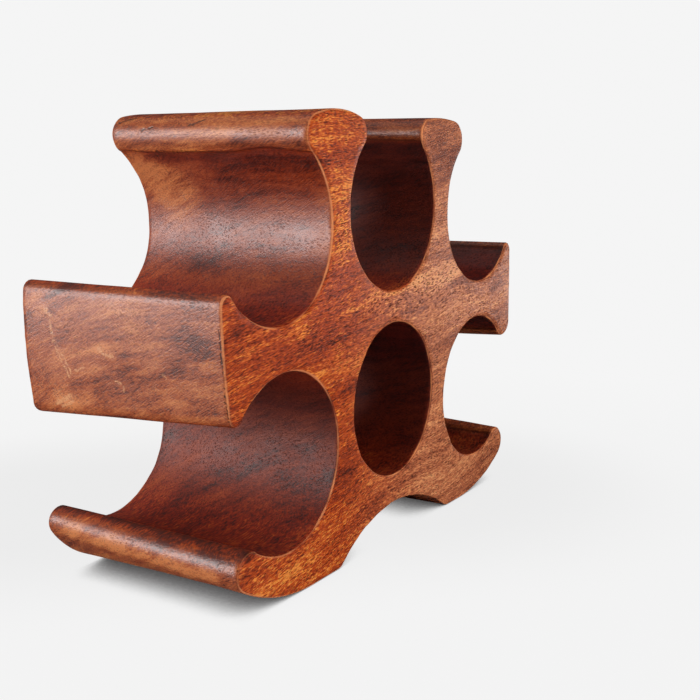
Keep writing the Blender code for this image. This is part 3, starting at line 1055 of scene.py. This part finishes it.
# Scratches and hairlines on the left arm's end and the left horn: (from, to, width), in metres
PALE_MARKS = (
    ((-0.151, 0.0425, 0.14), (-0.151, 0.039, 0.124), 0.0012),
    ((-0.151, 0.0385, 0.1245), (-0.15, 0.0295, 0.109), 0.0009),
    ((-0.151, 0.04, 0.124), (-0.15, 0.0315, 0.108), 0.0009),
    ((-0.1482, -0.001, 0.1062), (-0.148, -0.001, 0.1042), 0.0009),
    ((-0.148, -0.0245, 0.115), (-0.1478, -0.026, 0.1134), 0.0008),
    ((-0.1503, 0.012, 0.1235), (-0.15, 0.0085, 0.1205), 0.0011),
    ((-0.15, 0.0085, 0.1205), (-0.1498, 0.0038, 0.1204), 0.0012),
    ((-0.149, 0.0424, 0.094), (-0.149, 0.0324, 0.0985), 0.0016),
    ((-0.1487, 0.039, 0.0925), (-0.1486, 0.0315, 0.096), 0.0013),
    ((-0.1488, 0.0031, 0.1087), (-0.1486, 0.0003, 0.1076), 0.0012),
    ((-0.1502, 0.027, 0.1115), (-0.1501, 0.0226, 0.113), 0.0009),
    ((-0.1517, 0.0443, 0.1389), (-0.1516, 0.04, 0.1366), 0.001),
)
DARK_MARKS = (
    ((-0.1485, -0.0575, 0.136), (-0.1475, -0.0578, 0.118), 0.0007),
    ((-0.147, -0.0578, 0.112), (-0.144, -0.058, 0.096), 0.0005),
    ((-0.0848, 0.0546, 0.2263), (-0.0814, 0.046, 0.2287), 0.0009),
    ((-0.0861, 0.0393, 0.222), (-0.0851, 0.0327, 0.2239), 0.0007),
    ((-0.084, 0.0103, 0.2239), (-0.0817, 0.0021, 0.2267), 0.0008),
    ((-0.0826, 0.0323, 0.2125), (-0.0768, 0.037, 0.2091), 0.0007),
)


def marked(vector, *marks):
    """How much a point lies on any of the marks."""
    total = 0.0
    for start, end, width in marks:
        values = {"Vector": vector, "From": start, "To": end, "Width": width}
        mark = gives(vector.tree, "ShaderNodeGroup", values, "Mark", node_tree=mark_group())
        total = larger(mark, total)
    return total


# Where one part of the wood passes into another, and where painted shade and the painted sheen come in:
# from and to, in metres, across (X) or up (Z)
FADED_AND_SHEEN_SIDE = (-0.065, 0.05)
RIGHT_SIDE = (0.0, 0.04)
RIGHT_ARM = (0.06, 0.08)
ARM_UNDERSIDE = (0.125, 0.110)
UPPER_FLOOR = (0.153, 0.139)
LOWER_CEILING = (0.104, 0.084)


def surface_parts(tree, wood):
    """What the wood is worked out from at each point: its grain, its marks and its place."""
    place = gives(tree, "ShaderNodeTexCoord", output="Object")

    def stored(name):
        return gives(tree, "ShaderNodeAttribute", output="Fac", attribute_name=name)

    def placed(group, **values):
        """What a placed group puts out, in the order of its outputs."""
        values = {name.replace("_", " "): value for name, value in values.items()}
        node = add_node(tree, "ShaderNodeGroup", {"Vector": place, **values}, node_tree=group)
        return [Wire(socket) for socket in node.outputs]

    here = SimpleNamespace(rub=stored("rub"), stain=stored("stain"), lip=stored("lip_reach"))
    here.bands, here.streaks, here.fibres, here.pores, here.flecks = placed(
        grain_group(), Band_Width=wood.band, Streak_Width=wood.streak, Pore_Length=wood.pore_length,
        Pore_Width=wood.pore_width,
    )
    here.smudges, here.hatch = placed(
        handling_group(), Smudge_Size=wood.smudge_size, Hatch_Size=wood.hatch_size
    )
    [here.worn] = placed(
        wear_group(), Edge_Reach=stored("edge_reach"), Line_Width=wood.worn_width,
        Spot_Size=wood.worn_spots,
    )
    shaken = place + (cloudy(place, 420.0, output="Color") - HALF) * (0.003, 0.003, 0.003)
    here.pale, here.black = marked(shaken, *PALE_MARKS), marked(shaken, *DARK_MARKS)

    facing = gives(tree, "ShaderNodeNewGeometry", output="Normal")
    facing_side, facing_front, here.upward = split(facing)
    here.sideways, _, height = split(place)
    # The fibres are cut across where the wood faces a side
    here.cut = ramp(abs(facing_side), 0.25, 0.9)
    here.flat_face = ramp(abs(facing_front), 0.3, 0.9, 0.3)
    # How far a point is inside a bottle place, and where painted shade falls there: on a place's
    # ceiling, which faces down, in the places on the right but less under the right arm, low down in
    # the places, and as a painted reddish shade on the floor of an upper place
    here.within = ramp(here.lip, 0.0, 0.005)
    here.ceiling = here.within * ramp(here.upward, 0.1, -0.75)
    under_arm = ramp(here.sideways, *RIGHT_ARM) * ramp(height, *ARM_UNDERSIDE)
    right_shade = here.within * ramp(here.sideways, *RIGHT_SIDE) * (1.0 - under_arm * 0.8)
    low_shade = here.within * ramp(height, *LOWER_CEILING)
    here.deep = larger(right_shade, low_shade)
    here.deepest = larger(right_shade, low_shade * here.ceiling)
    here.trough = here.within * ramp(height, *UPPER_FLOOR) * ramp(height, *reversed(LOWER_CEILING))
    return here


def grain_shade(here, wood):
    """The colour of the wood's figure along the fibres and of its end grain, with rubs and stains,
    painted shade, and a painted sheen on the right.
    """
    # The tone runs from dark figure over heartwood to golden streaks
    tone = weighed(
        0.5, (here.bands, 0.95), (here.streaks, 0.7), (here.fibres, 1.0), (here.flecks, 0.9),
        (here.smudges, 0.35),
    )
    # A rub brightens the tone and a stain or painted shade darkens it, both in patches
    patchy = ramp(weighed(here.smudges, (here.streaks, 0.6), (here.flecks, 0.6)), 0.3, 0.7, 0.4)
    lively = weighed(0.22, (here.flecks, 0.4), (here.streaks, 0.6))
    tone = tone + patchy * (here.rub * lively - here.stain * 0.4)
    along = graded(
        tone, (0.12, wood.dark), (0.40, wood.heart), (0.62, wood.amber), (0.90, wood.gold)
    )
    # The wood on the right of the front and back faces is paler, partly as faded wood and partly as a
    # painted sheen
    faded = graded(tone, (0.15, wood.faded_dark), (0.50, wood.faded), (0.85, wood.faded_gold))
    along = blend(ramp(here.sideways, *FADED_AND_SHEEN_SIDE) * here.flat_face * 0.72, along, faded)
    cut_tone = weighed(
        tone + here.rub * 0.25, (here.flecks, -0.45), (here.fibres, -0.5), (here.streaks, 0.3),
        (here.smudges, 0.5), (here.hatch, 1.1),
    )
    ends = graded(cut_tone, (0.12, wood.dark), (0.45, wood.end_grain), (0.95, wood.end_gold))
    return blend(here.cut, along, ends)


def used_shade(here, wood, shade, pores):
    """The colour with painted shade in the bottle places and under the lips, where the places also hold
    old oil, a painted dark line of shade along each crease, scratches, and edges that are partly worn
    and partly a painted highlight.
    """
    # Painted shade under each lip; in the places the soak is partly old oil and partly painted shade,
    # and in their ceilings, deep in them and on an upper floor it is painted shade
    shade_under_lip = ramp(here.lip, 0.0002, 0.0016) * ramp(here.lip, 0.0016, 0.014, 0.8, 0.0)
    unrubbed = ramp(here.rub, 0.0, 1.0, 1.0, 0.2)
    for soaked in (here.within * unrubbed, here.ceiling * unrubbed, here.deep, here.deepest, shade_under_lip):
        shade = blend(soaked, shade, wood.soaked, "MULTIPLY")
    shade = blend(here.trough, shade, wood.trough, "MULTIPLY")
    # A painted dark line of shade follows the bottom of the crease, a scratch shows where it met the
    # flecks, and the pale line along the edges is partly wear and partly a painted highlight
    crease = weighed(abs(here.lip - CREASE_SHADE_LINE), (here.fibres, CREASE_SHADE_LINE))
    bare = here.pale * ramp(here.flecks, 0.36, 0.60, 0.25, 0.85)
    for part, laid in (
        (ramp(crease, 0.0002, 0.0013, 0.75, 0.0), wood.dark), (pores, wood.pore),
        (bare, wood.scratched), (here.black * 0.85, wood.pore), (here.worn * 0.85, wood.worn),
    ):
        shade = blend(part, shade, laid)
    return shade


def hardwood_material(wood):
    """Oiled reddish-brown hardwood with golden streaks, dark bands, pores, painted shade, and pale
    edges that are partly worn and partly a painted highlight.
    """
    material = bpy.data.materials.new(WOOD_SLOT)
    tree = cleared(material)
    here = surface_parts(tree, wood)
    # How dark the pores are, less so where the fibres are cut across
    open_pores = here.rub * 0.1 + 0.6
    seen_pores = here.pores * (open_pores + here.cut * (0.4 - open_pores))
    rough = ramp(here.smudges, 0.3, 0.7, wood.roughness - 0.04, wood.roughness + 0.06)
    # A film of dust dulls the tops
    dusty = ramp(here.upward, 0.80, 0.97)
    rough = rough + here.pores * 0.2 + here.worn * 0.3 + here.deep * 0.22 + dusty * 0.36

    # The relief in metres, lower in the pores and hairlines
    along_grain = ramp(here.cut, 0.0, 1.0, 0.00012, 0.00004)
    hatched = ramp(here.cut, 0.0, 1.0, 0.0001, 0.00025)
    height = (here.fibres + here.flecks) * along_grain + here.hatch * hatched
    height = height - seen_pores * 0.0001 - here.black * 0.0003
    relief = gives(
        tree, "ShaderNodeBump", {"Strength": wood.bump, "Distance": 1.0, "Height": height}
    )
    shader = gives(tree, "ShaderNodeBsdfPrincipled", {
        "Base Color": used_shade(here, wood, grain_shade(here, wood), seen_pores), "Roughness": rough,
        "Normal": relief, "Metallic": 0.0, "Specular IOR Level": wood.specular,
    })
    add_node(tree, "ShaderNodeOutputMaterial", {"Surface": shader})
    return material


# The studio

WHITE, BLACK, GREY = (1, 1, 1), (0, 0, 0), (0.5, 0.5, 0.5)
# A painted broad shadow behind and left of the rack, and a bright patch that reflections see, on the
# floor: (from, to, width), in metres
FLOOR_SHADE = ((-0.06, 0.15, 0), (0.09, -0.02, 0), 0.2)
FLOOR_GLARE = ((1.2, -0.45, 0), (1.3, -0.55, 0), 0.6)
# Area lights: (name, turn from +X and rise in degrees, size in metres, studio setting, glints)
LIGHTS = (
    ("side_light", 150, 8, 0.8, "key", True),
    ("front_light", 273, 10, 0.8, "fill", False),
    ("glint_light", 343, 8, 0.5, "glint", True),
    ("top_light", 60, 80, 1.4, "top", True),
)
SENSOR_WIDTH = 36
CAMERA_RANGE = (0.01, 50)
LIGHT_DISTANCE = 1.4
LIGHT_TARGET = Vector((0, 0, 0.12))


def seen_by(tree, ray):
    """1 for a ray of that kind, and 0 for the others."""
    return gives(tree, "ShaderNodeLightPath", output=f"Is {ray} Ray")


def studio_world(studio):
    """Even light from all round, its gleam in reflections, and a plain background for the camera."""
    world = bpy.data.worlds.new("studio")
    bpy.context.scene.world = world
    tree = cleared(world)

    def even(shade, strength):
        values = {"Color": opaque(shade), "Strength": strength}
        return gives(tree, "ShaderNodeBackground", values)

    # The room is bright behind the left side, and dark beyond the front right
    way = gives(tree, "ShaderNodeTexCoord", output="Generated")
    gleam = ramp(split(way)[0], -0.5, 0.4, studio.gleam, 0.1 * studio.gleam)
    lit = gives(tree, "ShaderNodeMixShader", {
        0: seen_by(tree, "Glossy"), 1: even(WHITE, studio.sky), 2: even(WHITE, gleam),
    })
    mixed = gives(tree, "ShaderNodeMixShader", {
        0: larger(seen_by(tree, "Camera"), seen_by(tree, "Transmission")), 1: lit,
        2: even(studio.background, 1.0),
    })
    add_node(tree, "ShaderNodeOutputWorld", {"Surface": mixed})


def floor_material(studio):
    """Pale floor that keeps a little of the rack's shadow, shows the camera a painted soft shadow of
    it, and fades into the background round it.
    """
    material = bpy.data.materials.new("pale_floor")
    tree = cleared(material)
    place = gives(tree, "ShaderNodeTexCoord", output="Object")
    glossy = seen_by(tree, "Glossy")
    tone = blend(ramp(cloudy(place, 220.0), 0.3, 0.7, 0.0, 0.02), studio.floor, GREY)
    dulled = glossy * ramp(split(place)[0], -0.1, 0.3, 0.8, 0.96)
    matt = gives(tree, "ShaderNodeBsdfPrincipled", {
        "Base Color": blend(dulled, tone, BLACK), "Roughness": 0.75, "Specular IOR Level": 0.2,
        "Metallic": 0.0,
    })
    # The camera sees the floor as a plain glow with a painted shadow: darkened by how much of the open
    # sky what stands near hides, and by the painted broad shadow
    shadow_free = gives(
        tree, "ShaderNodeAmbientOcclusion", {"Distance": studio.shadow_reach}, "AO", samples=8
    )
    far_tone = blend(marked(place, FLOOR_SHADE) * 0.065, studio.background, BLACK)
    bright = blend(ramp(shadow_free, 0.0, 0.55), (0.02, 0.018, 0.018), far_tone)
    plain = gives(tree, "ShaderNodeEmission", {"Color": bright, "Strength": 1.0})
    away = calculate("LENGTH", place, output=1)
    glow = ramp(away, 0.2, 0.5, studio.floor_glow) * seen_by(tree, "Camera")
    mixed = gives(tree, "ShaderNodeMixShader", {0: glow, 1: matt, 2: plain})
    # Reflections show one bright patch of the floor, on the far right
    patch = marked(place, FLOOR_GLARE) * glossy
    glare = gives(tree, "ShaderNodeEmission", {"Color": patch, "Strength": studio.glare})
    both = gives(tree, "ShaderNodeAddShader", {0: mixed, 1: glare})
    add_node(tree, "ShaderNodeOutputMaterial", {"Surface": both})
    return material


def studio_floor(studio, radius=3.0, corners=96):
    """A round floor under the rack."""
    turns = [math.tau * index / corners for index in range(corners)]
    points = [(radius * math.cos(turn), radius * math.sin(turn), 0) for turn in turns]
    mesh = bpy.data.meshes.new("floor")
    mesh.from_pydata(points, [], [tuple(range(corners))])
    mesh.materials.append(floor_material(studio))
    return new_object("floor", mesh)


def soft_light(name, turn, rise, size, power, glints):
    """A large soft light that looks at the rack, placed by its turn from +X and its rise."""
    lamp = bpy.data.lights.new(name, "AREA")
    lamp.shape = "SQUARE"
    lamp.size = size
    lamp.energy = power
    item = new_object(name, lamp)
    level = math.cos(rise)
    reach = Vector((math.cos(turn) * level, math.sin(turn) * level, math.sin(rise)))
    item.location = LIGHT_TARGET + LIGHT_DISTANCE * reach
    item.rotation_euler = reach.to_track_quat("Z", "Y").to_euler()
    item.visible_glossy = glints


def studio_camera(studio):
    """The camera, set by its turn, tilt and roll."""
    data = bpy.data.cameras.new("camera")
    data.sensor_width = SENSOR_WIDTH
    data.lens = studio.lens
    data.clip_start, data.clip_end = CAMERA_RANGE
    camera = new_object("camera", data)
    stand = Matrix.Translation(studio.camera_at)
    for turn, axis in ((-studio.yaw, "Z"), (UP - studio.pitch, "X"), (-studio.roll, "Z")):
        stand @= Matrix.Rotation(turn, 4, axis)
    camera.matrix_world = stand
    bpy.context.scene.camera = camera


# Operators and the panel


class RACK_OT_carve_body(bpy.types.Operator):
    """Carve the rack from its block and give it the oiled hardwood"""

    bl_idname = "bottle_rack.carve_body"
    bl_label = "Carve the rack"

    def execute(self, context):
        settings = context.scene.bottle_rack
        carving = settings.carving
        block = block_mesh(settings.sizes, carving.crease_wander)
        mark_surface(block, settings.sizes)
        # An input of the tree has the name of its setting
        values = {name.replace("_", " ").title(): getattr(carving, name)
                  for name in carving.__annotations__}
        values["Material"] = hardwood_material(settings.wood)
        mesh = carved(block, carving_tree(), values)
        keep_in_frame(mesh)
        mesh.shade_smooth()
        rack = new_object("carved_rack", mesh)
        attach(rack, "root")
        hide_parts(BODY)
        return {"FINISHED"}


class RACK_OT_set_stage(bpy.types.Operator):
    """Set up the floor, the background, the light and the camera"""

    bl_idname = "bottle_rack.set_stage"
    bl_label = "Set the stage"

    def execute(self, context):
        studio = context.scene.bottle_rack.studio
        studio_world(studio)
        studio_floor(studio)
        for name, turn, rise, size, power, glints in LIGHTS:
            soft_light(
                name, math.radians(turn), math.radians(rise), size, getattr(studio, power), glints
            )
        studio_camera(studio)
        context.scene.view_settings.view_transform = "Standard"
        return {"FINISHED"}


class RACK_PT_panel(bpy.types.Panel):
    """The rack's operators and settings in the sidebar"""

    bl_idname = "RACK_PT_panel"
    bl_label = "Bottle Rack"
    bl_space_type = "VIEW_3D"
    bl_region_type = "UI"
    bl_category = "Bottle Rack"

    def draw(self, context):
        for operator in OPERATORS:
            self.layout.operator(operator.bl_idname)
        settings = context.scene.bottle_rack
        for label in settings.__annotations__:
            group = getattr(settings, label)
            box = self.layout.box()
            box.label(text=label.capitalize())
            for name in group.__annotations__:
                box.prop(group, name)


OPERATORS = (RACK_OT_carve_body, RACK_OT_set_stage)
CLASSES = (
    RackSizes, CarvingSettings, WoodFinish, StudioSettings, BottleRackSettings,
    *OPERATORS, RACK_PT_panel,
)


def register():
    for item in CLASSES:
        bpy.utils.register_class(item)
    bpy.types.Scene.bottle_rack = bpy.props.PointerProperty(
        type=BottleRackSettings, name="Bottle rack", description="Settings of the bottle rack"
    )


def unregister():
    del bpy.types.Scene.bottle_rack
    for item in reversed(CLASSES):
        bpy.utils.unregister_class(item)


def main():
    """Builds everything in order."""
    register()
    bpy.ops.bottle_rack.carve_body()
    bpy.ops.bottle_rack.set_stage()


if __name__ == "__main__":
    main()
